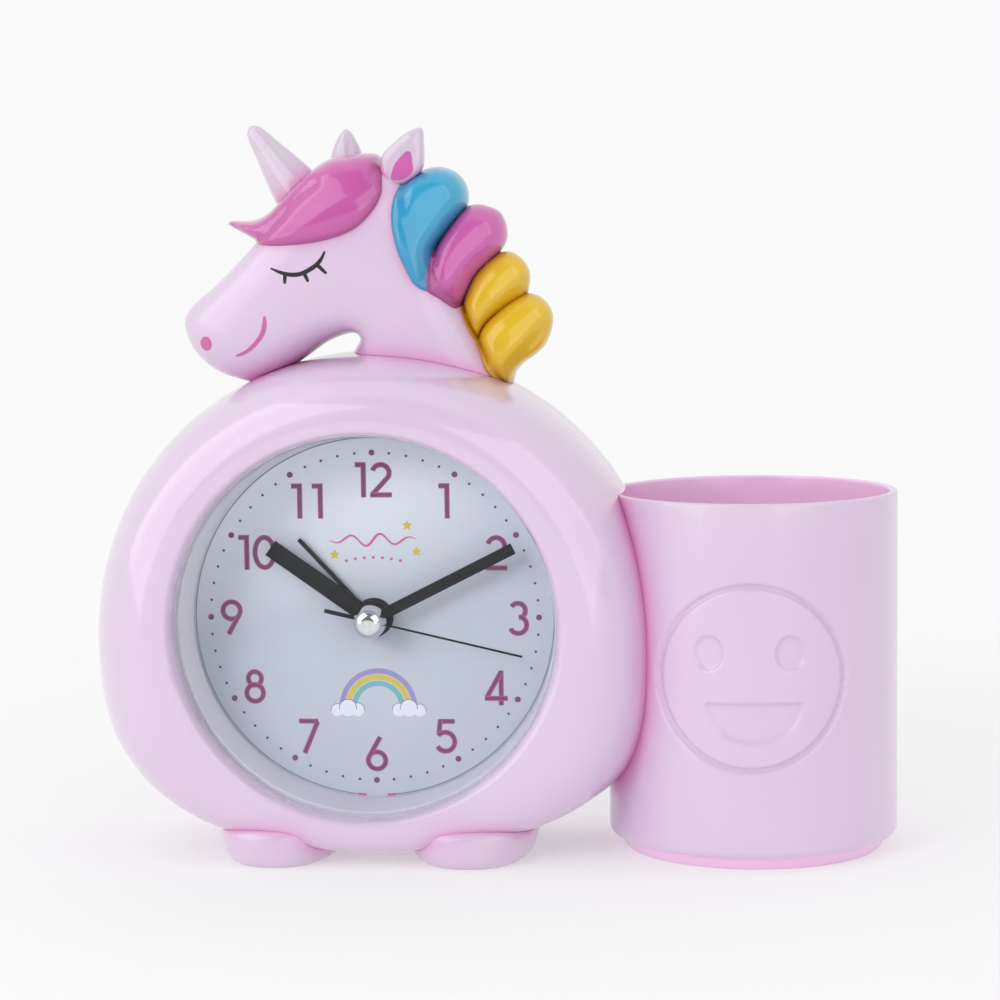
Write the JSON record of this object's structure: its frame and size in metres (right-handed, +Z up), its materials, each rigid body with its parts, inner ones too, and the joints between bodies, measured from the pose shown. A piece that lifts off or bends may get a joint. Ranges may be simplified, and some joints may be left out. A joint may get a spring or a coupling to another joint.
{
  "type": "pen holder clock",
  "caption": "Desk alarm clock in a rounded body with a one-horned horse's head on top and a round pen cup at its side.",
  "frame": {"origin": "on the table, under the middle of the whole object's box, the clock and its pen cup together", "axes": "+X to the pen cup's side, as the front shows it; +Y to the back, so the dial faces -Y; +Z up"},
  "size_m": [0.1792, 0.066, 0.1607],
  "materials": {
    "pink_plastic": "glossy moulded plastic, pale lilac pink",
    "pale_pink_plastic": "glossy moulded plastic, paler than the body",
    "magenta_plastic": "glossy paint on moulded plastic",
    "blue_plastic": "glossy paint on moulded plastic",
    "yellow_plastic": "glossy paint on moulded plastic",
    "clear_plastic": "clear polished plastic",
    "dial_plastic": "satin, printed",
    "hand_paint": "satin black paint on stamped aluminium",
    "chrome_cap": "mirror",
    "black_plastic": "fine matte moulded texture",
    "switch_plastic": "satin",
    "white_nylon": "satin moulded nylon",
    "steel": "zinc plated",
    "brass": "bright",
    "copper_winding": "enamelled copper wire; density of brass stands in",
    "circuit_laminate": "glass and resin laminate with lacquer",
    "magnet": "sintered ferrite",
    "battery_wrap": "printed sleeve over a steel can"
  },
  "bodies": {
    "clock": {"front_shell": "pink_plastic", "rear_shell": "pink_plastic", "shell_screw_1": "steel", "shell_screw_2": "steel", "shell_screw_3": "steel", "shell_screw_4": "steel", "pen_cup": "pink_plastic", "cup_screw_lower": "steel", "cup_screw_upper": "steel", "foot_left": "pink_plastic", "foot_right": "pink_plastic", "head_front": "pink_plastic", "head_rear": "pink_plastic", "mane_blue": "blue_plastic", "mane_magenta": "magenta_plastic", "mane_yellow_upper": "yellow_plastic", "mane_yellow_lower": "yellow_plastic", "forelock": "magenta_plastic", "ear_near": "pale_pink_plastic", "ear_far": "pale_pink_plastic", "horn": "pale_pink_plastic", "lens": "clear_plastic", "dial_ring": "dial_plastic", "dial": "dial_plastic", "movement_case_front": "black_plastic", "movement_case_rear": "black_plastic", "middle_plate": "white_nylon", "stator": "steel", "coil": "copper_winding", "circuit_board": "circuit_laminate", "buzzer": "brass", "battery": "battery_wrap", "contact_negative": "steel", "contact_positive": "steel"},
    "second_group": {"second_hand": "hand_paint", "hub_cap": "chrome_cap", "second_wheel": "white_nylon"},
    "minute_group": {"minute_hand": "hand_paint", "centre_pipe": "brass"},
    "hour_group": {"hour_hand": "hand_paint", "hour_wheel": "white_nylon"},
    "alarm_group": {"alarm_hand": "hand_paint", "alarm_wheel": "white_nylon"},
    "setting_group": {"minute_wheel": "white_nylon", "set_knob": "black_plastic"},
    "alarm_setting_group": {"alarm_pinion": "white_nylon", "alarm_knob": "black_plastic"},
    "third_group": {"third_wheel": "white_nylon"},
    "centre_group": {"centre_wheel": "white_nylon"},
    "intermediate_group": {"intermediate_wheel": "white_nylon"},
    "rotor_group": {"rotor": "magnet"},
    "door_group": {"battery_door": "black_plastic"},
    "switch_group": {"alarm_switch": "switch_plastic"}
  },
  "joints": [
    {"name": "second_spin", "type": "hinge", "parent": "clock", "child": "second_group", "pos_m": [-0.02544, 0, 0.0523], "axis": [0, 1, 0], "continuous": true},
    {"name": "minute_spin", "type": "hinge", "parent": "clock", "child": "minute_group", "pos_m": [-0.02544, 0, 0.0523], "axis": [0, 1, 0], "continuous": true},
    {"name": "hour_spin", "type": "hinge", "parent": "clock", "child": "hour_group", "pos_m": [-0.02544, 0, 0.0523], "axis": [0, 1, 0], "continuous": true},
    {"name": "alarm_spin", "type": "hinge", "parent": "clock", "child": "alarm_group", "pos_m": [-0.02544, 0, 0.0523], "axis": [0, 1, 0], "continuous": true},
    {"name": "set_spin", "type": "hinge", "parent": "clock", "child": "setting_group", "pos_m": [-0.03627, 0, 0.05855], "axis": [0, 1, 0], "continuous": true},
    {"name": "alarm_knob_spin", "type": "hinge", "parent": "clock", "child": "alarm_setting_group", "pos_m": [-0.01418, 0, 0.0611], "axis": [0, 1, 0], "continuous": true},
    {"name": "third_spin", "type": "hinge", "parent": "clock", "child": "third_group", "pos_m": [-0.02544, 0, 0.06202], "axis": [0, 1, 0], "continuous": true},
    {"name": "centre_spin", "type": "hinge", "parent": "clock", "child": "centre_group", "pos_m": [-0.02544, 0, 0.0523], "axis": [0, 1, 0], "continuous": true},
    {"name": "intermediate_spin", "type": "hinge", "parent": "clock", "child": "intermediate_group", "pos_m": [-0.01599, 0, 0.05063], "axis": [0, 1, 0], "continuous": true},
    {"name": "rotor_spin", "type": "hinge", "parent": "clock", "child": "rotor_group", "pos_m": [-0.00634, 0, 0.04893], "axis": [0, 1, 0], "continuous": true},
    {"name": "door_hinge", "type": "hinge", "parent": "clock", "child": "door_group", "pos_m": [-0.02544, 0.0115, 0.0252], "axis": [-1, 0, 0], "range_deg": [0, 90]},
    {"name": "alarm_switch_slide", "type": "slide", "parent": "clock", "child": "switch_group", "axis": [1, 0, 0], "range_m": [0, 0.004]}
  ],
  "couplings": [
    {"joint": "intermediate_spin", "follows": "second_spin", "ratio": -5},
    {"joint": "rotor_spin", "follows": "second_spin", "ratio": 30},
    {"joint": "third_spin", "follows": "second_spin", "ratio": -0.13333},
    {"joint": "centre_spin", "follows": "second_spin", "ratio": 0.016667},
    {"joint": "set_spin", "follows": "minute_spin", "ratio": -0.33333},
    {"joint": "hour_spin", "follows": "minute_spin", "ratio": 0.083333},
    {"joint": "alarm_knob_spin", "follows": "alarm_spin", "ratio": -2.25}
  ]
}
